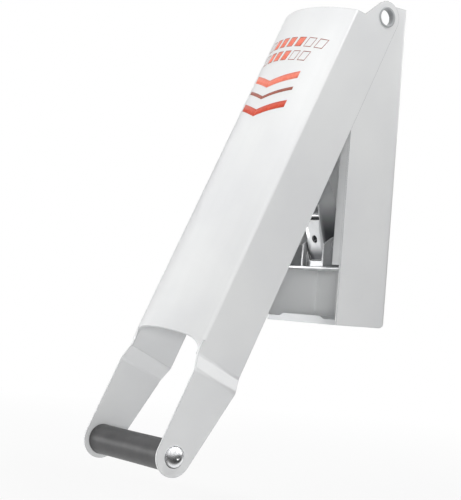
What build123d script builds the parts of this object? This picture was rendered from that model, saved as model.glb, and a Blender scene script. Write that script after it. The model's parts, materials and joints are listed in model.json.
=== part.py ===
from build123d import *
import os
from math import asin, atan2, cos, degrees, hypot, radians, sin, sqrt

# Wall-mounted lever can crusher, millimetres: +X right, +Y into the wall, +Z up.
# The origin is the centre of the wall-screw pattern, on the rear face of the back frame.

# Driving dimensions
frame_width = 90.0
frame_height = 260.0
frame_depth = 51.0
closed_depth = 70.0       # from the wall to the crown of the closed lever
lever_length = 420.0      # from the ears' tops to the handle end
handle_width = 102.0      # clear between the two handle arms
can_diameter = 66.0
frame_sheet = 2.0
lever_sheet = 1.5
lever_angle = 24.3        # degrees open, as the lever is drawn
platen_height = 44.0      # platen underside above the foot, as drawn

foot = -frame_height / 2
top = frame_height / 2
frame_half = frame_width / 2
wall_inside = frame_half - frame_sheet
side_gap = 0.8            # between a frame wall and the lever wall outside it
lever_half = frame_half + side_gap + lever_sheet
running_gap = 0.05

# Back frame
throat = can_diameter + 2.4          # clear width between the two front flanges
flange_foot = foot + 47.5            # the flanges stop here, so that a crushed can comes out
flange_top = top - 27.0
flange_bend = 3.0
foot_corner = 7.0
front_cut = (23.0, 22.0)             # how far the front top corner is cut back and down
front_cut_blend = 7.0
rear_corner = 2.0
notch_width = 68.0
notch_depth = 25.0
notch_corner = 9.0
screw_spacing_x = 50.0
screw_spacing_z = 130.0
screw_radius = 2.75

# Pivot eyelets
pivot_y = -24.0
pivot_z = top - 10.5
eyelet_bore = 6.5
eyelet_radius = 7.5
eyelet_rim = 8.3
eyelet_lip = 0.7

# Lever, laid out closed and upright with its pivot at the origin
ear_radius = 13.0
lobe_radius = 14.8
fold_reach = 28.5                    # pivot to the folds between the walls and the front
crown_reach = closed_depth + pivot_y
fold_radius = 2.6
ear_notch_reach = 19.9
ear_notch_drop = 10.8
ear_notch_radius = 2.0
top_slope = 0.215                    # the front's top edge falls away towards the crown
plate_end = 306.5                    # pivot to the lower end of the arched front
plate_corner = 8.5
joggle_start = 317.5
joggle_end = 329.0
joggle_radius = 7.0
handle_drop = lever_length - ear_radius - lobe_radius
handle_reach = 14.2
arm_step = 1.2                       # the arms' rear edges step forward at the joggle
arm_inside = handle_width / 2
arm_outside = arm_inside + lever_sheet

# Handle
rod_radius = 4.0
grip_radius = 11.7
grip_play = 0.3
cap_radius = 7.5
cap_rim = 0.7
cap_height = 4.6
cap_socket = 2.6
cap_crown_radius = 2.0
cap_facets = 2
cap_washer_radius = 8.3
cap_washer_sheet = 0.9

# Platen with its guide wings
platen_sheet = 2.0
guide_gap = 0.7
wing_height = 21.0
wing_corner = 8.0
platen_edge = 0.7
platen_front = -(frame_depth - frame_sheet - guide_gap)
platen_rear = -(frame_sheet + guide_gap)
platen_half = wall_inside - guide_gap
platen_z = foot + platen_height
platen_top = platen_z + platen_sheet

# Yoke on the platen
yoke_sheet = 1.8
yoke_inside = 12.3
yoke_front = -43.8
sill_front = -39.6
yoke_rear = -23.0
yoke_ear_radius = 6.5
yoke_shoulder_drop = 0.5             # pin down to the upper end of the ears' straight front edges
sill_height = 5.0
sill_notch_half = 8.4
sill_shoulder_drop = 6.2
pin_y = -32.5
pin_z = platen_z + 21.0
pin_radius = 3.5
pin_head_radius = 4.8
pin_head_height = 1.2
pin_washer_rim = 6.4
pin_washer_sheet = 0.8

# Link, laid out upright with its lower pin at the origin
link_sheet = 1.5
link_half = 11.6
link_bend = 2.0
web_reach = 8.8                      # pin line to the face of the web
flange_reach = 9.0                   # pin line to the rear edge of the flanges, at their widest
waist_reach = 5.5                    # the same above the taper
taper_foot = 39.0
taper_top = 58.0
taper_blend = 22.0
tongue_drop = 11.2
tongue_half = 8.0
shoulder_drop = 1.85                 # where the web starts to taper into the tongue
heel_drop = 4.3                      # where the flanges' rounded foot starts behind the web
window_foot = 22.2
window_top = 46.0
web_end_drop = 16.0                  # upper pin down to the upper end of the web
web_hole_height = 6.3
web_hole_radius = 3.3
spacer_height = 25.2
spacer_reach = 2.5
spacer_radius = 3.0

# Crank bracket under the arched front, in the lever's layout
crank_drop = 77.4                    # pivot to the link's upper pin, down the lever
crank_reach = 15.0                   # the same, square to the lever
bracket_inside = 13.4
bracket_sheet = 1.6
bracket_length = 40.0
bracket_eye_radius = 8.5
crank_pin_radius = 4.0
stub_head_radius = 6.2
stub_head_height = 1.8

# Can seat
seat_gap = 0.1
seat_sheet = 1.5
seat_rim = 4.2
seat_crown = 6.4
seat_half = 24.0
seat_slope = 4.5
seat_corner = 1.2


def tangent_point(start, centre, radius, side):
    """Where a line from start touches a circle: side +1 passes it on the right, -1 on the left."""
    gap = hypot(centre[0] - start[0], centre[1] - start[1])
    reach = sqrt(gap**2 - radius**2)
    heading = atan2(centre[1] - start[1], centre[0] - start[0]) - side * asin(radius / gap)
    return (start[0] + reach * cos(heading), start[1] + reach * sin(heading))


def arc_between(centre, radius, start, end, through):
    """Arc of a circle from start to end by way of the heading given as (dy, dz)."""
    scale = radius / hypot(*through)
    middle = (centre[0] + through[0] * scale, centre[1] + through[1] * scale)
    return ThreePointArc(start, middle, end)


def across(radius, length):
    """Cylinder along X, centred on the origin."""
    return Rot(0, 90, 0) * Cylinder(radius, length)


def turned(*outline):
    """Solid of revolution about X from a closed outline of (x, radius) points."""
    return revolve(make_face(Polyline(*outline, close=True)), Axis.X)


def side_plate(outline, half_width):
    """Solid across X from an outline drawn as (y, z)."""
    return extrude(Plane.YZ * make_face(outline), half_width, both=True)


def at(part, *places):
    """Edges along X of a side plate that lie at the given (y, z) places."""
    edges = part.edges().filter_by(Axis.X)
    return [e for e in edges for y, z in places if hypot(e.center().Y - y, e.center().Z - z) < 0.01]


def hung(part):
    """Take a part from the lever's closed layout to its drawn place."""
    return Pos(0, pivot_y, pivot_z) * Rot(-lever_angle, 0, 0) * part


def linked(part):
    """Take a part from the link's upright layout to its drawn place."""
    return Pos(0, pin_y, pin_z) * Rot(link_span()[1], 0, 0) * part


def mirrored(part):
    """The left-hand twin of a right-hand part."""
    return mirror(part, Plane.YZ)


def link_span():
    """Distance between the link's pins and its forward lean, from the crank pin's drawn place."""
    tilt = radians(lever_angle)
    forward = pin_y - pivot_y + crank_drop * sin(tilt) + crank_reach * cos(tilt)
    rise = pivot_z - pin_z - crank_drop * cos(tilt) + crank_reach * sin(tilt)
    return hypot(forward, rise), degrees(atan2(forward, rise))


def front_arch():
    """Radius of the lever's arched front and how far its centre lies behind the pivot."""
    rise = crown_reach - fold_reach
    radius = (lever_half**2 + rise**2) / (2 * rise)
    return radius, radius - crown_reach


def back_frame():
    """Folded channel with inward front flanges, a notched top edge and four screw holes."""
    outer = Pos(0, -frame_depth / 2) * RectangleRounded(frame_width, frame_depth, flange_bend)
    inner = offset(outer, -frame_sheet)
    mouth = Pos(0, -frame_depth) * Rectangle(throat, 4 * frame_sheet)
    flanged = Pos(0, 0, flange_foot) * extrude(outer - inner - mouth, flange_top - flange_foot)
    square = Pos(0, -frame_depth) * Rectangle(frame_width, 4 * flange_bend)
    square &= Pos(0, -frame_depth / 2) * Rectangle(frame_width, frame_depth)
    open_front = Pos(0, -frame_depth) * Rectangle(2 * wall_inside, 4 * flange_bend)
    plain = Pos(0, 0, foot) * extrude(outer + square - inner - open_front, frame_height)
    cut_start = (front_cut[0] - frame_depth, top)
    cut_end = (-frame_depth, top - front_cut[1])
    wall = side_plate(Polyline((0, foot), (0, top), cut_start, cut_end, (-frame_depth, foot),
                               close=True), frame_half)
    wall = fillet(at(wall, (0, foot)), foot_corner)
    wall = fillet(at(wall, (0, top)), rear_corner)
    wall = fillet(at(wall, cut_start, cut_end), front_cut_blend)
    body = (plain + flanged) & wall
    notch = Pos(0, top) * RectangleRounded(notch_width, 2 * notch_depth, notch_corner)
    body -= extrude(Plane.XZ * notch, 2 * frame_sheet, both=True)
    for spot in GridLocations(screw_spacing_x, screw_spacing_z, 2, 2):
        body -= Plane.XZ * spot * Cylinder(screw_radius, 3 * frame_sheet)
    return body - Pos(0, pivot_y, pivot_z) * across(eyelet_radius + running_gap, 2 * frame_width)


def can_seat():
    """Shallow pressed tray at the foot, with a raised middle strip and a turned-down front."""
    half = wall_inside - seat_gap
    rear = -frame_sheet - seat_gap
    length = frame_depth + rear - seat_gap

    def hat(inset, low):
        right = [(half - inset, low), (half - inset, seat_rim - inset),
                 (seat_half + seat_slope, seat_rim - inset), (seat_half, seat_crown - inset)]
        left = [(-x, z) for x, z in reversed(right)]
        return make_face(Polyline(*right, *left, close=True))

    shell = extrude(Plane.XZ * hat(0, 0), length)
    hollow = extrude(Plane.XZ * hat(seat_sheet, -seat_sheet), length - seat_sheet)
    body = shell - hollow
    body = chamfer(body.edges().filter_by(Axis.Z).group_by(Axis.Y)[-1].sort_by(Axis.X)[::3],
                   seat_corner)
    return Pos(0, rear, foot) * body


def platen():
    """Pressing plate with a softened front edge and two wings that slide behind the flanges."""
    depth = platen_rear - platen_front
    base = Align.CENTER, Align.MIN, Align.MIN
    plate = Pos(0, platen_front, platen_z) * Box(2 * platen_half, depth, platen_sheet, align=base)
    plate = fillet(plate.edges().filter_by(Axis.X).group_by(Axis.Y)[0], platen_edge)
    wing = Box(platen_sheet, depth, wing_height, align=base)
    wing = fillet(wing.edges().filter_by(Axis.X).group_by(Axis.Z)[-1], wing_corner)
    wing = Pos(platen_half - platen_sheet / 2, platen_front, platen_z) * wing
    return plate + wing + mirrored(wing)


def yoke():
    """Bracket on the platen: two round-topped ears, with a low notched sill set back between them."""
    half = yoke_inside + yoke_sheet
    pin = (pin_y, pin_z)
    front_foot = (yoke_front, platen_top)
    rear_foot = (yoke_rear, platen_top)
    front_shoulder = (yoke_front, pin_z - yoke_shoulder_drop)
    front_top = tangent_point(front_shoulder, pin, yoke_ear_radius, -1)
    rear_top = tangent_point(rear_foot, pin, yoke_ear_radius, 1)
    side = Polyline(rear_top, rear_foot, front_foot, front_shoulder, front_top)
    side += arc_between(pin, yoke_ear_radius, front_top, rear_top, (0, 1))
    ears = side_plate(side, half) - side_plate(side, yoke_inside)
    ears -= Pos(0, pin_y, pin_z) * across(pin_radius + running_gap / 2, 4 * half)
    sill = platen_top + sill_height
    shoulder = pin_z - sill_shoulder_drop
    outline = Polyline((-yoke_inside, platen_top), (yoke_inside, platen_top), (yoke_inside, shoulder),
                       (sill_notch_half, sill), (-sill_notch_half, sill), (-yoke_inside, shoulder),
                       close=True)
    return ears + Pos(0, sill_front + yoke_sheet) * extrude(Plane.XZ * make_face(outline), yoke_sheet)


def lower_pin():
    """Pin through the yoke's ears: flush at the right, upset over a washer at the left."""
    right = yoke_inside + yoke_sheet
    left = -right - pin_washer_sheet - 2 * running_gap
    upset = left - pin_head_height
    return turned((upset, 0), (upset, pin_head_radius), (left, pin_head_radius), (left, pin_radius),
                  (right, pin_radius), (right, 0))


def pin_washer():
    """Washer between the yoke's left ear and the upset end of the lower pin."""
    face = -yoke_inside - yoke_sheet - running_gap
    rear = face - pin_washer_sheet
    bore = pin_radius + running_gap
    return turned((face, bore), (face, pin_washer_rim), (rear, pin_washer_rim), (rear, bore))


def link():
    """Channel link: web to the front with a window and a tapered tongue, flanges behind."""
    length = link_span()[0]
    depth = web_reach + flange_reach
    middle = (flange_reach - web_reach) / 2
    plan = Pos(0, middle) * Rectangle(2 * link_half, depth)
    plan = fillet(plan.vertices().group_by(Axis.Y)[0], link_bend)
    plan -= Pos(0, link_sheet) * (Pos(0, middle) * Rectangle(2 * (link_half - link_sheet), depth))
    channel = Pos(0, 0, -depth) * extrude(plan, length + 2 * depth)
    front, rear = -web_reach, flange_reach
    heel = (front + link_sheet, -heel_drop)
    high = (waist_reach, length)
    crown = ((waist_reach - web_reach) / 2, length + (waist_reach + web_reach) / 2)
    side = ThreePointArc(high, crown, (front, length))
    side += Polyline((front, length), (front, -tongue_drop), (front + link_sheet, -tongue_drop), heel)
    side += ThreePointArc(heel, (middle, -depth / 2), (rear, 0))
    side += FilletPolyline((rear, 0), (rear, taper_foot), (waist_reach, taper_top), high, radius=taper_blend)
    body = channel & side_plate(side, link_half)
    beyond = 2 * link_half
    taper = make_face(Polyline((tongue_half, -tongue_drop), (link_half, -shoulder_drop),
                               (beyond, -shoulder_drop), (beyond, -depth), (tongue_half, -depth), close=True))
    web_cut = Pos(0, front + link_sheet) * extrude(Plane.XZ * taper, 2 * link_sheet)
    body -= web_cut + mirrored(web_cut)
    web_half = link_half - link_sheet
    for low, high in ((window_foot, window_top), (length - web_end_drop, length + depth)):
        body -= Pos(0, front, (low + high) / 2) * Box(2 * web_half, 3 * link_sheet, high - low)
    body -= Pos(0, front, web_hole_height) * (Rot(90, 0, 0) * Cylinder(web_hole_radius, 4 * link_sheet))
    body -= across(pin_radius + running_gap, 4 * link_half)
    return body - Pos(0, 0, length) * across(crank_pin_radius + running_gap / 2, 4 * link_half)


def link_spacer():
    """Cross tie between the link's flanges, seen through the window in its web."""
    return Pos(0, -spacer_reach, spacer_height) * across(spacer_radius, 2 * (link_half - link_sheet))


def link_top_pin():
    """Pin riveted flush in the flanges at the link's upper end, just clear of the bracket's cheeks."""
    return Pos(0, 0, link_span()[0]) * across(crank_pin_radius, 2 * link_half)


def lever():
    """Folded sheet with an arched front, two pivot ears and two arms joggled out to the grip."""
    arch = ThreePointArc((-lever_half, -fold_reach), (0, -crown_reach), (lever_half, -fold_reach))
    tail = ear_radius + 5
    sides = Polyline((lever_half, -fold_reach), (lever_half, tail), (-lever_half, tail),
                     (-lever_half, -fold_reach))
    outer = make_face(arch + sides)
    folds = [v for v in outer.vertices() if abs(v.Y + fold_reach) < 0.01]
    outer = fillet(folds, fold_radius)
    sheet = outer - offset(outer, -lever_sheet)
    channel = Pos(0, 0, -joggle_start) * extrude(sheet, joggle_start + ear_radius)
    wall_middle = lever_half - lever_sheet / 2
    arm_middle = arm_outside - lever_sheet / 2
    path = FilletPolyline((wall_middle, -plate_end), (wall_middle, -joggle_start),
                          (arm_middle, -joggle_end), (arm_middle, -handle_drop - 2 * lobe_radius),
                          radius=joggle_radius)
    arm = extrude(Plane.XZ * trace(path, line_width=lever_sheet), 2 * lobe_radius, both=True)
    body = channel + arm + mirrored(arm)
    body &= lever_side()
    body -= across(eyelet_radius + running_gap, 2 * handle_width)
    return body - Pos(0, -handle_reach, -handle_drop) * across(rod_radius + running_gap, 2 * handle_width)


def lever_side():
    """Side outline of the lever as a plate: ear, slanted top edge, front, tapered arm and lobe."""
    beyond = crown_reach + 10
    lobe = (-handle_reach, -handle_drop)
    notch = (-ear_notch_reach, -ear_notch_drop)
    top_end = (-beyond, -ear_notch_drop - top_slope * (beyond - ear_notch_reach))
    arm_front = -handle_reach - lobe_radius
    ear_rear = (ear_radius, 0)
    ear_front = tangent_point(notch, (0, 0), ear_radius, -1)
    joggle_rear = (ear_radius, -joggle_start)
    taper_start = (ear_radius - arm_step, -joggle_end - 2)
    taper_end = tangent_point(taper_start, lobe, lobe_radius, -1)
    edge = arc_between((0, 0), ear_radius, ear_rear, ear_front, (0, 1))
    edge += Polyline(ear_front, notch, top_end, (-beyond, -plate_end), (arm_front, -plate_end),
                     (arm_front, -handle_drop))
    edge += arc_between(lobe, lobe_radius, (arm_front, -handle_drop), taper_end, (0, -1))
    edge += Polyline(taper_end, taper_start, joggle_rear, ear_rear)
    plate = side_plate(edge, handle_width)
    plate = fillet(at(plate, notch), ear_notch_radius)
    return fillet(at(plate, (arm_front, -plate_end)), plate_corner)


def crank_bracket():
    """Two cheeks and a curved back that seats inside the arched front and holds the link."""
    arch_radius, arch_centre = front_arch()
    outer = arch_radius - lever_sheet - running_gap
    half = bracket_inside + bracket_sheet
    saddle = Pos(0, arch_centre) * (Circle(outer) - Circle(outer - bracket_sheet))
    saddle &= Pos(0, -crown_reach) * Rectangle(2 * half, crown_reach)
    cheek_end = arch_centre - sqrt((outer - bracket_sheet / 2)**2 - half**2)
    cheek_start = bracket_eye_radius - crank_reach
    cheek = Pos(bracket_inside + bracket_sheet / 2, (cheek_start + cheek_end) / 2) * Rectangle(
        bracket_sheet, cheek_start - cheek_end)
    plan = saddle + cheek + mirrored(cheek)
    body = Pos(0, 0, -crank_drop - bracket_length / 2) * extrude(plan, bracket_length)
    eye = (-crank_reach, -crank_drop)
    base_y = -fold_reach - 6
    low = (base_y, -crank_drop - bracket_length / 2)
    high = (base_y, -crank_drop + bracket_length / 2)
    low_side = tangent_point(low, eye, bracket_eye_radius, 1)
    high_side = tangent_point(high, eye, bracket_eye_radius, -1)
    outline = Polyline(low_side, low, (-crown_reach, low[1]), (-crown_reach, high[1]), high, high_side)
    outline += arc_between(eye, bracket_eye_radius, high_side, low_side, (1, 0))
    body &= side_plate(outline, half)
    return body - Pos(0, eye[0], eye[1]) * across(crank_pin_radius + running_gap / 2, 4 * half)


def crank_stub():
    """Headed stub riveted in a cheek of the bracket, in line with the link's upper pin."""
    inside = bracket_inside
    outside = bracket_inside + bracket_sheet + running_gap
    end = outside + stub_head_height
    stub = turned((inside, 0), (inside, crank_pin_radius), (outside, crank_pin_radius),
                  (outside, stub_head_radius), (end, stub_head_radius), (end, 0))
    return Pos(0, -crank_reach, -crank_drop) * stub


def pivot_eyelet():
    """Hollow rivet through a frame wall and the lever's ear, open from side to side."""
    inner = wall_inside - running_gap
    outer = lever_half + 3 * running_gap
    inner_lip = inner - eyelet_lip
    outer_lip = outer + eyelet_lip
    eyelet = turned((inner_lip, eyelet_bore), (inner_lip, eyelet_rim), (inner, eyelet_rim),
                    (inner, eyelet_radius), (outer, eyelet_radius), (outer, eyelet_rim),
                    (outer_lip, eyelet_rim), (outer_lip, eyelet_bore))
    return Pos(0, pivot_y, pivot_z) * eyelet


def handle_rod():
    """Round bar from cap nut to cap nut."""
    reach = arm_outside + cap_washer_sheet + cap_socket - 2 * running_gap
    return Pos(0, -handle_reach, -handle_drop) * across(rod_radius, 2 * reach)


def grip():
    """Sleeve over the rod, filling the space between the arms."""
    length = 2 * (arm_inside - grip_play)
    sleeve = across(grip_radius, length) - across(rod_radius + 2 * running_gap, 2 * length)
    return Pos(0, -handle_reach, -handle_drop) * sleeve


def cap_washer():
    """Flat ring under a cap nut."""
    inner = arm_outside + running_gap
    outer = arm_outside + cap_washer_sheet
    bore = rod_radius + 2 * running_gap
    ring = turned((inner, bore), (inner, cap_washer_radius), (outer, cap_washer_radius), (outer, bore))
    return Pos(0, -handle_reach, -handle_drop) * ring


def cap_nut():
    """Domed nut on a rod end, with a blind bore and a flat crown."""
    base = arm_outside + cap_washer_sheet + running_gap
    crown = base + cap_height
    bore = rod_radius + 2 * running_gap
    rise = cap_height - cap_rim
    ball = (cap_radius**2 + rise**2) / (2 * rise)
    rim_turn = asin(cap_radius / ball)
    step = (rim_turn - asin(cap_crown_radius / ball)) / cap_facets
    turns = [rim_turn - i * step for i in range(cap_facets + 1)]
    dome = [(crown - ball + ball * cos(turn), ball * sin(turn)) for turn in turns]
    nut = turned((base + cap_socket, 0), (base + cap_socket, bore), (base, bore), (base, cap_radius), *dome,
                 (dome[-1][0], 0))
    return Pos(0, -handle_reach, -handle_drop) * nut


nodes = {
    "back_frame": back_frame(),
    "can_seat": can_seat(),
    "platen": platen(),
    "yoke": yoke(),
    "lower_pin": Pos(0, pin_y, pin_z) * lower_pin(),
    "pin_washer": Pos(0, pin_y, pin_z) * pin_washer(),
    "link": linked(link()),
    "link_spacer": linked(link_spacer()),
    "link_top_pin": linked(link_top_pin()),
    "lever": hung(lever()),
    "crank_bracket": hung(crank_bracket()),
    "handle_rod": hung(handle_rod()),
    "grip": hung(grip()),
}
pairs = {
    "crank_stub": hung(crank_stub()),
    "pivot_eyelet": pivot_eyelet(),
    "cap_washer": hung(cap_washer()),
    "cap_nut": hung(cap_nut()),
}
for name, part in pairs.items():
    nodes[name + "_right"] = part
    nodes[name + "_left"] = mirrored(part)

os.makedirs("parts", exist_ok=True)
for name, part in nodes.items():
    export_step(part, f"parts/{name}.step")
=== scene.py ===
import json
from math import asin, cos, degrees, pi, radians, sin, sqrt

import bmesh
import bpy
from mathutils import Matrix, Vector

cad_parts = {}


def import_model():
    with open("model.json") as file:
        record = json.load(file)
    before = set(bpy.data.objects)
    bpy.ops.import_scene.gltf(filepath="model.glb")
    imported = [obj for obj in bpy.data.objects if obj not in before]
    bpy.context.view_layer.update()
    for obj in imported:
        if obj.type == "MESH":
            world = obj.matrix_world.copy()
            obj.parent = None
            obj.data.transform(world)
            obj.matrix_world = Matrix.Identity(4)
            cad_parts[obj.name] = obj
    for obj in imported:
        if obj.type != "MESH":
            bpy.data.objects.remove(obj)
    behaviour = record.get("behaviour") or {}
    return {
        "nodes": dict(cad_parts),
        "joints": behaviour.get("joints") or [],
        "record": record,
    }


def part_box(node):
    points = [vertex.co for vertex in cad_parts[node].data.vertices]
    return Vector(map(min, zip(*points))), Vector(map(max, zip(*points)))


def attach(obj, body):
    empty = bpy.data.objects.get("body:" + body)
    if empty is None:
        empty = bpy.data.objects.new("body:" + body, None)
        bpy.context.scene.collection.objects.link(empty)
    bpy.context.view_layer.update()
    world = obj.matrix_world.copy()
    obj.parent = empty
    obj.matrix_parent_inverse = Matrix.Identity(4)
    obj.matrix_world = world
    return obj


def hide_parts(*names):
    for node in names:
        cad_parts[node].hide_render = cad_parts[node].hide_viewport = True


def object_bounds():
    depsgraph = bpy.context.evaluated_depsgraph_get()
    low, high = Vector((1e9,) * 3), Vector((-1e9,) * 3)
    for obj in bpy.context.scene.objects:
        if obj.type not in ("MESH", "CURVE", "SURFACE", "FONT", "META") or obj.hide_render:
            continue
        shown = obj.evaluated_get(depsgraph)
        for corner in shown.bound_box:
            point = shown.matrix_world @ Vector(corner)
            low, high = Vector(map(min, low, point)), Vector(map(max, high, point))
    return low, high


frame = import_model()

cad_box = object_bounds()
nodes = frame["nodes"]
mm = 0.001
X, Y, Z = Vector((1, 0, 0)), Vector((0, 1, 0)), Vector((0, 0, 1))

# The camera stands to the right of the crusher and a little below its middle.
camera_azimuth = 54.69
camera_tilt = 2.37          # degrees it looks up
camera_roll = 4.53
camera_place = Vector((846.4, -725.6, -120.8)) * mm
camera_lens = 95.55

# Studio levels
ambient = 0.12              # even light from all round
dark_room = 0.07            # what metal mirrors between the white sky and the white floor
room_height = 0.34          # sine of the elevation up to which that dark band reaches
room_fade = 0.6             # share of that height from which it turns light
dark_from = 0.072           # metres to the right from which metal mirrors the floor dark too
floor_white = 0.86          # how far the floor near the object is whitened

# The frame's hinge and the link's, and where the drawn lever points
joints = {joint["name"]: joint for joint in frame["joints"]}
pivot = Vector(joints["lever_hinge"]["pos_m"])
lower_pin = Vector(joints["link_hinge"]["pos_m"])
closed_turn = radians(-joints["lever_hinge"]["range_deg"][0])
down_lever = Vector((0, -sin(closed_turn), -cos(closed_turn)))
out_of_lever = Vector((0, -cos(closed_turn), sin(closed_turn)))

# Arch of the lever's front, in mm: its radius, and how far its crown stands off the pivot
arch_radius = 72.67
arch_crown = 46.0

# Painted shade darkens the link from just above its lower pin downwards. On its flanges, which
# rub in the yoke, the painted shade starts higher and fades in more slowly.
link_shade_top = lower_pin.z + 1 * mm
web_fade = 11 * mm
flange_rise, flange_fade = 38 * mm, 32 * mm
shade_cover = 0.9


# Node trees

noise_low, noise_high = 0.35, 0.65      # most of a noise's values lie between these


def linear(colour):
    """Linear RGBA of an sRGB hex colour."""
    parts = [int(colour[i:i + 2], 16) / 255 for i in (1, 3, 5)]
    parts = [c / 12.92 if c <= 0.04045 else ((c + 0.055) / 1.055) ** 2.4 for c in parts]
    return (*parts, 1.0)


def add(tree, kind, inputs=(), **settings):
    """Adds a node: settings are its properties, inputs pair sockets with constants or outputs."""
    made = tree.nodes.new("ShaderNode" + kind)
    for name, value in settings.items():
        setattr(made, name, value)
    for socket, value in dict(inputs).items():
        if isinstance(value, bpy.types.NodeSocket):
            tree.links.new(value, made.inputs[socket])
        else:
            made.inputs[socket].default_value = value
    return made


def material(name):
    """A new material with an empty tree, its Principled shader and the object's own coordinates."""
    made = bpy.data.materials.new(name)
    made.use_nodes = True
    tree = made.node_tree
    tree.nodes.clear()
    shader = add(tree, "BsdfPrincipled")
    add(tree, "OutputMaterial", {"Surface": shader.outputs[0]})
    place = add(tree, "TexCoord").outputs["Object"]
    return made, tree, shader, place


def noise(tree, place, size, detail=2.0, stretch=None):
    """Noise whose lumps are size metres across, optionally stretched along an axis."""
    vector = place
    if stretch:
        vector = add(tree, "Mapping", {"Vector": place, "Scale": stretch}).outputs[0]
    made = add(tree, "TexNoise", {"Vector": vector, "Scale": 1 / size, "Detail": detail})
    return made.outputs["Fac"]


def ramp(tree, share, low, high):
    """Colour that goes from low to high over the middle of a noise's range."""
    made = add(tree, "ValToRGB", {"Fac": share})
    stops = (noise_low, low), (noise_high, high)
    for element, (place, colour) in zip(made.color_ramp.elements, stops):
        element.position = place
        element.color = linear(colour)
    return made.outputs[0]


def mapped(tree, value, start, end, low=0.0, high=1.0, **settings):
    """Value that goes from low to high while another goes from start to end."""
    ends = {"Value": value, "From Min": start, "From Max": end, "To Min": low, "To Max": high}
    return add(tree, "MapRange", ends, **settings).outputs[0]


def combined(tree, operation, one, other):
    """Two values joined by the named operation."""
    return add(tree, "Math", {0: one, 1: other}, operation=operation).outputs[0]


def mixed(tree, share, one, other):
    """Value that goes from one to other as the share goes from 0 to 1."""
    return add(tree, "Mix", {"Factor": share, "A": one, "B": other}).outputs[0]


def blended(tree, share, one, other):
    """Colour that goes from one to other as the share goes from 0 to 1."""
    made = add(tree, "Mix", {"Factor": share}, data_type="RGBA")
    for socket, value in ((6, one), (7, other)):
        if isinstance(value, str):
            made.inputs[socket].default_value = linear(value)
        else:
            tree.links.new(value, made.inputs[socket])
    return made.outputs[2]


def bumped(tree, shader, height, depth, strength):
    """Bump of the given depth in metres."""
    bump = add(tree, "Bump", {"Height": height, "Distance": depth, "Strength": strength})
    tree.links.new(bump.outputs[0], shader.inputs["Normal"])


def near_edge(tree, reach):
    """1 within about reach metres of a sheet's edge and 0 away from it.

    It comes from how far a rounding of the edge turns the face: both limits are cosines.
    """
    unturned, turned_off = 0.995, 0.90
    rounded = add(tree, "Bevel", {"Radius": reach}, samples=8).outputs[0]
    flat = add(tree, "NewGeometry").outputs["Normal"]
    turn = add(tree, "VectorMath", {0: rounded, 1: flat}, operation="DOT_PRODUCT").outputs["Value"]
    return mapped(tree, turn, unturned, turned_off)


def powder_coat(name="white_powder_coat", low="#E3E4E5", high="#E9EAEA"):
    """White powder coat on folded steel: even, half glossy, with a fine orange peel.

    It is greyer along its edges: partly a thin coat on cut edges, partly painted shade in folds.
    """
    edge_grey_and_fold_shade, edge_reach = "#A9ABAD", 0.7 * mm
    cloud_size, peel_size, peel_depth = 70 * mm, 1.4 * mm, 0.02 * mm
    made, tree, shader, place = material(name)
    shader.inputs["IOR"].default_value = 1.5
    cloud = noise(tree, place, cloud_size)
    coat = ramp(tree, cloud, low, high)
    # Greyer near edges: a thin coat on cut edges, painted shade in folds and corners
    colour = blended(tree, near_edge(tree, edge_reach), coat, edge_grey_and_fold_shade)
    tree.links.new(colour, shader.inputs["Base Color"])
    tree.links.new(mapped(tree, cloud, 0, 1, 0.30, 0.36), shader.inputs["Roughness"])
    bumped(tree, shader, noise(tree, place, peel_size), peel_depth, 0.5)
    return made


def zinc_plate(name="bright_zinc_plate", metal=0.66, shade_line=None):
    """Bright zinc on rolled steel: a grey mirror with fine rolling marks and a painted highlight on
    its edges.

    It has painted shade where parts sit close. A piece with a shade line also has painted shade
    below that height in metres, and on its flanges from higher up.
    """
    # Painted shade colour, then the painted highlight on edges: its colour and its metallic
    painted_shade, edge_glint, edge_glint_metal, edge_reach = "#33353A", "#F6F6F6", 0.3, 0.8 * mm
    streak_size, streak_stretch, streak_depth = 0.8 * mm, (1.0, 1.0, 0.06), 0.004 * mm
    cloud_size, close_by = 14 * mm, 22 * mm
    open_enough, shut_in = 0.55, 0.12
    made, tree, shader, place = material(name)
    streaks = noise(tree, place, streak_size, 3.0, streak_stretch)
    plate = ramp(tree, noise(tree, place, cloud_size), "#E2E4E6", "#EEEFF0")
    # Painted shade where other parts stand close
    openness = add(tree, "AmbientOcclusion", {"Distance": close_by}, samples=12).outputs["AO"]
    shade_share = mapped(tree, openness, open_enough, shut_in)
    # Painted shade below the shade line, from higher up on the flanges
    if shade_line is not None:
        height = add(tree, "SeparateXYZ", {0: place}).outputs["Z"]
        normal = add(tree, "TexCoord").outputs["Normal"]
        facing = add(tree, "SeparateXYZ", {0: normal}).outputs["X"]
        flange = add(tree, "Math", {0: facing}, operation="ABSOLUTE").outputs[0]
        starts = ((shade_line, web_fade), (shade_line + flange_rise, flange_fade))
        web_shade, flange_shade = (mapped(tree, height, start, start - fade, 0, shade_cover,
                                      interpolation_type="SMOOTHSTEP") for start, fade in starts)
        shade_share = combined(tree, "MAXIMUM", shade_share, mixed(tree, flange, web_shade, flange_shade))
    # Painted highlight: edges lighter and less metallic
    edge_glint_share = near_edge(tree, edge_reach)
    colour = blended(tree, edge_glint_share, blended(tree, shade_share, plate, painted_shade), edge_glint)
    tree.links.new(colour, shader.inputs["Base Color"])
    tree.links.new(mapped(tree, edge_glint_share, 0, 1, metal, edge_glint_metal), shader.inputs["Metallic"])
    tree.links.new(mapped(tree, streaks, 0, 1, 0.10, 0.20), shader.inputs["Roughness"])
    bumped(tree, shader, streaks, streak_depth, 0.4)
    return made


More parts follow.
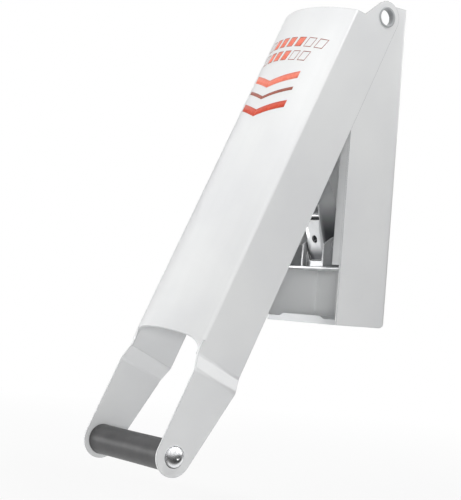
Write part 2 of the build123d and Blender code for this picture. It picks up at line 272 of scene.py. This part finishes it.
def chrome_plate():
    """Chrome over a turned face, whose fine rings draw its reflections out into wedges."""
    made, tree, shader, place = material("turned_chrome")
    shader.inputs["Metallic"].default_value = 1.0
    shader.inputs["Anisotropic"].default_value = 0.85
    rings = add(tree, "Tangent", direction_type="RADIAL", axis="X").outputs[0]
    tree.links.new(rings, shader.inputs["Tangent"])
    cloud = noise(tree, place, 3 * mm)
    tree.links.new(ramp(tree, cloud, "#E6E7E9", "#F0F1F2"), shader.inputs["Base Color"])
    tree.links.new(mapped(tree, cloud, 0, 1, 0.24, 0.30), shader.inputs["Roughness"])
    return made


def grip_rubber():
    """Black moulded rubber: matt, with a fine skin, grey where handled, and painted shade at its
    ends.
    """
    end_shade, end_reach = "#151516", 1.6 * mm
    skin_size, skin_depth, cloud_size = 0.9 * mm, 0.03 * mm, 16 * mm
    made, tree, shader, place = material("moulded_black_rubber")
    shader.inputs["IOR"].default_value = 1.52
    skin = noise(tree, place, skin_size, 4.0)
    handled = ramp(tree, noise(tree, place, cloud_size, 3.0), "#2E2E2F", "#3D3D3E")
    # Painted shade near the grip's ends
    colour = blended(tree, near_edge(tree, end_reach), handled, end_shade)
    tree.links.new(colour, shader.inputs["Base Color"])
    tree.links.new(mapped(tree, skin, 0, 1, 0.38, 0.52), shader.inputs["Roughness"])
    bumped(tree, shader, skin, skin_depth, 0.6)
    return made


def print_ink(name, low, high):
    """Screen printed ink: flat and half glossy, with the slight mottle of a hand-pulled print."""
    made, tree, shader, place = material(name)
    shader.inputs["IOR"].default_value = 1.5
    mottle = noise(tree, place, 2.5 * mm, 4.0)
    tree.links.new(ramp(tree, mottle, low, high), shader.inputs["Base Color"])
    tree.links.new(mapped(tree, mottle, 0, 1, 0.35, 0.5), shader.inputs["Roughness"])
    return made


finishes = {
    "white_enamel": powder_coat(),
    "zinc_plate": zinc_plate(),
    "chrome": chrome_plate(),
    "grip_rubber": grip_rubber(),
}
# Seat: a greyer coat as painted shade. Eyelets: a darker grey coat. Link: painted shade at its
# foot.
# Painted shade: a greyer copy of the white coat, for the seat
seat_shade_coat = powder_coat("seat_powder_coat_painted_shade", "#C4C6C8", "#D0D2D3")
grey_eyelet_coat = powder_coat("grey_eyelet_powder_coat", "#A6A8AA", "#B6B8BA")
# The link's zinc, with painted shade at its foot
shaded_link_zinc = zinc_plate("link_zinc_painted_shade", 0.5, link_shade_top)
slot_of = {part["node"]: part["material_slot"] for part in frame["record"]["subparts"]}


# Carried-over solids

split_reach = 0.002 * mm    # a vertex that the mesh splits is joined again within this
sharp_edge = radians(35)    # edges that turn more than this are rounded
sheet_break = 0.35 * mm
zinc_break = 0.25 * mm


def soften(node, width):
    """Breaks a node's sharp edges: its split vertices are joined, then the edges are rounded."""
    weld = node.modifiers.new("join", "WELD")
    weld.merge_threshold = split_reach
    bevel = node.modifiers.new("edge_break", "BEVEL")
    bevel.width = width
    bevel.segments = 2
    bevel.limit_method = "ANGLE"
    bevel.angle_limit = sharp_edge
    bevel.harden_normals = True


for name, node in nodes.items():
    node.material_slots[0].material = finishes[slot_of[name]]

nodes["can_seat"].material_slots[0].material = seat_shade_coat
nodes["link"].material_slots[0].material = shaded_link_zinc

for name in ("back_frame", "lever", "can_seat"):
    soften(nodes[name], sheet_break)
for name in ("platen", "yoke", "link", "crank_bracket"):
    soften(nodes[name], zinc_break)


# Turned pieces, whose outlines are in mm

turn_steps = 96             # faces round a turned piece
nut_dimple = 1.5            # radius of the dimple in a cap nut's crown
handle_end = 16             # how far the arms reach past the middle of the grip
handle = sum(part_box("grip"), Vector((0, 0, 0))) / 2
handle.x = 0


def finished(name, made, finish, body, sharp=40, centre=(0, 0, 0)):
    """Puts a finished bmesh in the scene as a piece, smooth but for edges over the sharp angle."""
    bmesh.ops.recalc_face_normals(made, faces=made.faces)
    mesh = bpy.data.meshes.new(name)
    made.to_mesh(mesh)
    made.free()
    mesh.materials.append(finish)
    mesh.shade_smooth()
    mesh.set_sharp_from_angle(angle=radians(sharp))
    piece = bpy.data.objects.new(name, mesh)
    piece.location = centre
    bpy.context.scene.collection.objects.link(piece)
    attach(piece, body)
    return piece


def turned(outline, axis):
    """Spins a closed outline of (reach, radius) pairs about an axis through the piece's origin."""
    made = bmesh.new()
    up = axis.cross(Y)
    turns = [2 * pi * i / turn_steps for i in range(turn_steps)]
    rings = []
    for reach, radius in outline:
        middle = axis * (reach * mm)
        if radius == 0:
            rings.append([made.verts.new(middle)])
        else:
            spokes = [(Y * cos(t) + up * sin(t)) * (radius * mm) for t in turns]
            rings.append([made.verts.new(middle + spoke) for spoke in spokes])
    for low, high in zip(rings, rings[1:] + rings[:1]):
        for i in range(turn_steps):
            j = (i + 1) % turn_steps
            spots = ((low, i), (low, j), (high, j), (high, i))
            corners = list(dict.fromkeys(ring[k % len(ring)] for ring, k in spots))
            if len(corners) > 2:
                made.faces.new(corners)
    return made


def bend(middle, radius, start, end, steps=6):
    """Points of an arc in an outline, between angles in degrees: 0 along the axis, 90 outwards."""
    turns = [radians(start + (end - start) * i / steps) for i in range(steps + 1)]
    return [(middle[0] + radius * cos(t), middle[1] + radius * sin(t)) for t in turns]


def cap_nut(side, name):
    """Domed cap nut: a rolled foot, a groove over it, the polished dome and its crown's dimple."""
    low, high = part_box("cap_nut_" + name)
    radius = (high.z - low.z) / 2 / mm
    foot = min(abs(low.x), abs(high.x)) / mm
    crown_extra, foot_height, foot_inset, roll, rim_inset = 0.25, 0.9, 0.2, 0.3, 0.25
    groove = (foot + 0.75, radius - 0.45)
    dimple = ((0.10, nut_dimple - 0.25), (0.35, nut_dimple - 0.55), (0.5, 0.45), (0.52, 0))
    height = (high.x - low.x) / mm + crown_extra
    rise = height - foot_height
    ball = (radius ** 2 + rise ** 2) / (2 * rise)
    ball_middle = foot + height - ball
    rim_turn = degrees(asin((radius - rim_inset) / ball))
    dimple_turn = degrees(asin(nut_dimple / ball))
    crown = ball_middle + ball * cos(radians(dimple_turn))
    outline = [(foot, 0), (foot, radius - foot_inset)]
    outline += [*bend((foot + roll, radius - roll), roll, 120, 0, 5), groove]
    outline += bend((ball_middle, 0), ball, rim_turn, dimple_turn, 18)
    outline += [(crown - depth, reach) for depth, reach in dimple]
    made = turned(outline, X * side)
    piece = finished("chrome_cap_nut_" + name, made, finishes["chrome"], "lever",
                     centre=handle)
    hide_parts("cap_nut_" + name)


def cap_washer(side, name):
    """Thin washer under the nut, with its stamped edges rounded."""
    low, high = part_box("cap_washer_" + name)
    radius = (high.z - low.z) / 2 / mm
    foot, face = sorted((abs(low.x) / mm, abs(high.x) / mm))
    soft, bore = 0.28, 4.2
    outline = [(foot, bore), (foot, radius - soft)]
    outline += bend((foot + soft, radius - soft), soft, 180, 90, 4)
    outline += [*bend((face - soft, radius - soft), soft, 90, 0, 4), (face, bore)]
    made = turned(outline, X * side)
    piece = finished("chrome_washer_" + name, made, finishes["chrome"], "lever",
                     centre=handle)
    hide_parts("cap_washer_" + name)


def sleeve():
    """Grip sleeve with rounded, slightly flared ends, hollow for the rod."""
    low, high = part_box("grip")
    radius = (high.z - low.z) / 2 / mm
    reach = high.x / mm
    soft, waist, middle_waist, flare, bore = 1.4, 0.25, 0.35, 7, 4.3
    outline = [(-reach, bore), *bend((-reach + soft, radius - soft), soft, 180, 90)]
    outline += [(-reach + flare, radius - waist), (0, radius - middle_waist)]
    outline += [(reach - flare, radius - waist)]
    outline += [*bend((reach - soft, radius - soft), soft, 90, 0), (reach, bore)]
    made = turned(outline, X)
    piece = finished("rubber_grip", made, finishes["grip_rubber"], "lever", 50,
                     handle)
    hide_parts("grip")


def eyelet(side, name):
    """Hollow pivot rivet: a barrel with a rolled lip on both ends, painted with the frame."""
    low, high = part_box("pivot_eyelet_" + name)
    rim = (high.z - low.z) / 2 / mm
    inside, outside = sorted((abs(low.x) / mm, abs(high.x) / mm))
    lip, edge, bore, barrel = 0.7, 0.35, 6.5, 7.5
    outline = [*bend((inside + lip, bore + lip), lip, 270, 180), (inside, rim - edge)]
    outline += [*bend((inside + edge, rim - edge), edge, 135, 45, 4), (inside + lip, barrel)]
    outline += [(outside - lip, barrel), *bend((outside - edge, rim - edge), edge, 135, 45, 4)]
    outline += [(outside, rim - edge), *bend((outside - lip, bore + lip), lip, 0, -90)]
    made = turned(outline, X * side)
    piece = finished("rolled_eyelet_" + name, made, grey_eyelet_coat, "frame",
                     centre=pivot)
    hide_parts("pivot_eyelet_" + name)


for side, name in ((1, "right"), (-1, "left")):
    cap_nut(side, name)
    cap_washer(side, name)
    eyelet(side, name)
sleeve()


# Printed design on the lever's front, in mm: two rows of slanted bars over three chevrons

print_lift = 0.03           # over the arch, and the ink's own thickness
patch_step = 1.5            # longest stretch that isn't divided again
bar_line = 0.6              # width of the line round a bar
bar_slant = 2.6
bar_width = 6.6
bar_pitch = 9.4
bar_start = -27
chevron_reach = 27
chevron_height = 10
chevron_shift = 1           # the chevrons' middle, to the right of the lever's


def on_arch(across, down):
    """Point over the lever's front: across from its middle line and down from the pivot."""
    rise = sqrt(arch_radius ** 2 - across ** 2)
    out = arch_crown - arch_radius + rise
    normal = X * (across / arch_radius) + out_of_lever * (rise / arch_radius)
    on_sheet = X * across + down_lever * down + out_of_lever * out
    return pivot + (on_sheet + normal * print_lift) * mm


def patch(made, corners):
    """Adds a four-cornered patch on the arch: corners are (across, down) pairs in order."""
    a, b, c, d = (Vector(corner) for corner in corners)
    steps = max(1, round(max((b - a).length, (c - d).length) / patch_step))
    rows = []
    for i in range(steps + 1):
        t = i / steps
        rows.append([made.verts.new(on_arch(*spot)) for spot in (a.lerp(b, t), d.lerp(c, t))])
    for one, two in zip(rows, rows[1:]):
        made.faces.new((one[0], two[0], two[1], one[1]))


def printed(name, patches, finish):
    """One colour of the print, as a thin film with its own thickness."""
    made = bmesh.new()
    for corners in patches:
        patch(made, corners)
    piece = finished(name, made, finish, "lever")
    film = piece.modifiers.new("film", "SOLIDIFY")
    film.thickness = print_lift * mm
    film.offset = 1.0


def bars(top, bottom, last):
    """Slanted bars between two heights, up to last across."""
    made, left = [], bar_start
    while left + bar_width <= last:
        right = left + bar_width
        made.append(((left + bar_slant, top), (right + bar_slant, top), (right, bottom),
                     (left, bottom)))
        left += bar_pitch
    return made


def framed(corners):
    """Thin lines along the edges of a four-cornered shape."""
    made = []
    diagonal = bar_line * 1.3           # from a corner towards the middle of the shape
    a, b, c, d = (Vector(corner) for corner in corners)
    middle = (a + b + c + d) / 4
    for one, two in ((a, b), (b, c), (c, d), (d, a)):
        inward = [p + (middle - p).normalized() * diagonal for p in (one, two)]
        made.append((tuple(one), tuple(two), tuple(inward[1]), tuple(inward[0])))
    return made


def chevron(tip, thick):
    """Two arms of a chevron whose tip points down the lever."""
    left, middle, right = (chevron_shift + chevron_reach * side for side in (-1, 0, 1))
    high = tip - chevron_height
    return [((left, high), (middle, tip), (middle, tip - thick), (left, high - thick)),
            ((middle, tip), (right, high), (right, high - thick), (middle, tip - thick))]


upper_bars = bars(top=45, bottom=54, last=44)
lower_bars = bars(top=58, bottom=67, last=30)
bar_lines = [line for bar in upper_bars + lower_bars for line in framed(bar)]
deep_red = print_ink("printed_deep_red", "#CC4A33", "#D85A42")
soft_red = print_ink("printed_soft_red", "#EE7A63", "#F38D77")
brown_red = print_ink("printed_brown_red", "#9A5546", "#A86454")
printed("print_bars", upper_bars[1:5] + lower_bars[1:4], soft_red)
printed("print_bar_lines", bar_lines, brown_red)
printed("print_chevron_top", chevron(tip=93, thick=6.5), soft_red)
printed("print_chevron_middle", chevron(tip=104, thick=3.0), brown_red)
printed("print_chevron_low", chevron(tip=120, thick=6.5), deep_red)


# Studio

def lamp(name, place, target, size, power, mirrored=True, lighting=True):
    """Square softbox at place, aimed at target; power in watts.

    One that isn't mirrored has no glossy reflection, and one that isn't lighting has only that.
    """
    data = bpy.data.lights.new(name, "AREA")
    data.size = size
    data.energy = power
    made = bpy.data.objects.new(name, data)
    made.location = place
    made.rotation_mode = "QUATERNION"
    made.rotation_quaternion = (Vector(target) - Vector(place)).to_track_quat("-Z", "Y")
    made.visible_camera = False
    made.visible_glossy = mirrored
    made.visible_diffuse = lighting
    bpy.context.scene.collection.objects.link(made)


def floor():
    """Pale floor just below the closed lever.

    To the camera it is white, with the object's soft shadow near it. In metal it is half white
    and half dark.
    """
    reach, gap, cloud_size = 6.0, 1 * mm, 0.5
    dark_fade = 25 * mm
    near, far = 0.3, 1.2
    closed_low = pivot.z - (handle - pivot).dot(down_lever) - handle_end * mm
    low = min(cad_box[0].z, closed_low) - gap
    corners = [(x * reach, y * reach, low) for x, y in ((-1, -1), (1, -1), (1, 1), (-1, 1))]
    mesh = bpy.data.meshes.new("floor")
    mesh.from_pydata(corners, [], [(0, 1, 2, 3)])
    made = bpy.data.objects.new("floor", mesh)
    bpy.context.scene.collection.objects.link(made)
    surface, tree, shader, place = material("pale_floor")
    colour = ramp(tree, noise(tree, place, cloud_size), "#F4F4F4", "#F7F7F7")
    tree.links.new(colour, shader.inputs["Base Color"])
    shader.inputs["Roughness"].default_value = 0.9
    path = add(tree, "LightPath").outputs
    across = add(tree, "SeparateXYZ", {0: place}).outputs["X"]
    mirrored = mapped(tree, across, dark_from, dark_from + dark_fade, 1.0, dark_room)
    level = mixed(tree, path["Is Glossy Ray"], 1.0, mirrored)
    glow = add(tree, "Emission", {"Color": (1, 1, 1, 1), "Strength": level})
    away = add(tree, "VectorMath", {0: place}, operation="LENGTH").outputs["Value"]
    whitened = mapped(tree, away, near, far, floor_white, 1.0)
    camera_share = combined(tree, "MULTIPLY", path["Is Camera Ray"], whitened)
    share = combined(tree, "MAXIMUM", camera_share, path["Is Glossy Ray"])
    both = add(tree, "MixShader", {0: share, 1: shader.outputs[0], 2: glow.outputs[0]})
    tree.links.new(both.outputs[0], tree.nodes["Material Output"].inputs["Surface"])
    mesh.materials.append(surface)


def world():
    """White round the object for the camera, soft even light on it, a dark room in its metal."""
    made = bpy.data.worlds.new("studio")
    bpy.context.scene.world = made
    made.use_nodes = True
    tree = made.node_tree
    tree.nodes.clear()
    path = add(tree, "LightPath").outputs
    direction = add(tree, "TexCoord").outputs["Generated"]
    height = add(tree, "SeparateXYZ", {0: direction}).outputs["Z"]
    mirrored = mapped(tree, height, room_height * room_fade, room_height, dark_room, 1.0,
                      interpolation_type="SMOOTHSTEP")
    light = mixed(tree, path["Is Glossy Ray"], ambient, mirrored)
    strength = mixed(tree, path["Is Camera Ray"], light, 1.0)
    sky = add(tree, "Background", {"Color": (1, 1, 1, 1), "Strength": strength})
    add(tree, "OutputWorld", {"Surface": sky.outputs[0]})


def camera():
    """The camera at the photograph's place and angle."""
    azimuth, tilt, roll = radians(camera_azimuth), radians(camera_tilt), radians(camera_roll)
    ahead = Vector((-sin(azimuth) * cos(tilt), cos(azimuth) * cos(tilt), sin(tilt)))
    level = ahead.cross(Z).normalized()
    upright = level.cross(ahead)
    right = level * cos(roll) + upright * sin(roll)
    up = upright * cos(roll) - level * sin(roll)
    turn = Matrix((right, up, -ahead)).transposed().to_4x4()
    data = bpy.data.cameras.new("camera")
    data.lens = camera_lens
    data.clip_start = 0.05
    made = bpy.data.objects.new("camera", data)
    made.matrix_world = Matrix.Translation(camera_place) @ turn
    bpy.context.scene.collection.objects.link(made)
    bpy.context.scene.camera = made


floor()
world()
camera()
lamp("front_left", (-1.0, -1.06, -0.08), (0, -0.08, -0.08), 0.26, 10.6, mirrored=False)
lamp("top_near", (0.1, -0.5, 0.7), (0, -0.1, 0.05), 0.5, 2.4)
lamp("camera_side", (1.13, -0.95, -0.1), (0, -0.08, -0.08), 0.26, 7.2, mirrored=False)
lamp("high_right", (0.42, 0.08, 0.66), (0.04, -0.08, -0.05), 0.2, 2.2)
lamp("left_glint", (-1.0, -0.7, -0.3), (0, -0.12, -0.18), 0.5, 4, lighting=False)
lamp("rear_left", (-1.1, 1.2, 0.5), (0, -0.05, 0), 0.8, 9)
lamp("joggle_glint", (0.38, 0.63, 0.33), (0.05, -0.16, -0.18), 0.3, 1.6, lighting=False)

bpy.context.scene.view_settings.view_transform = "Standard"
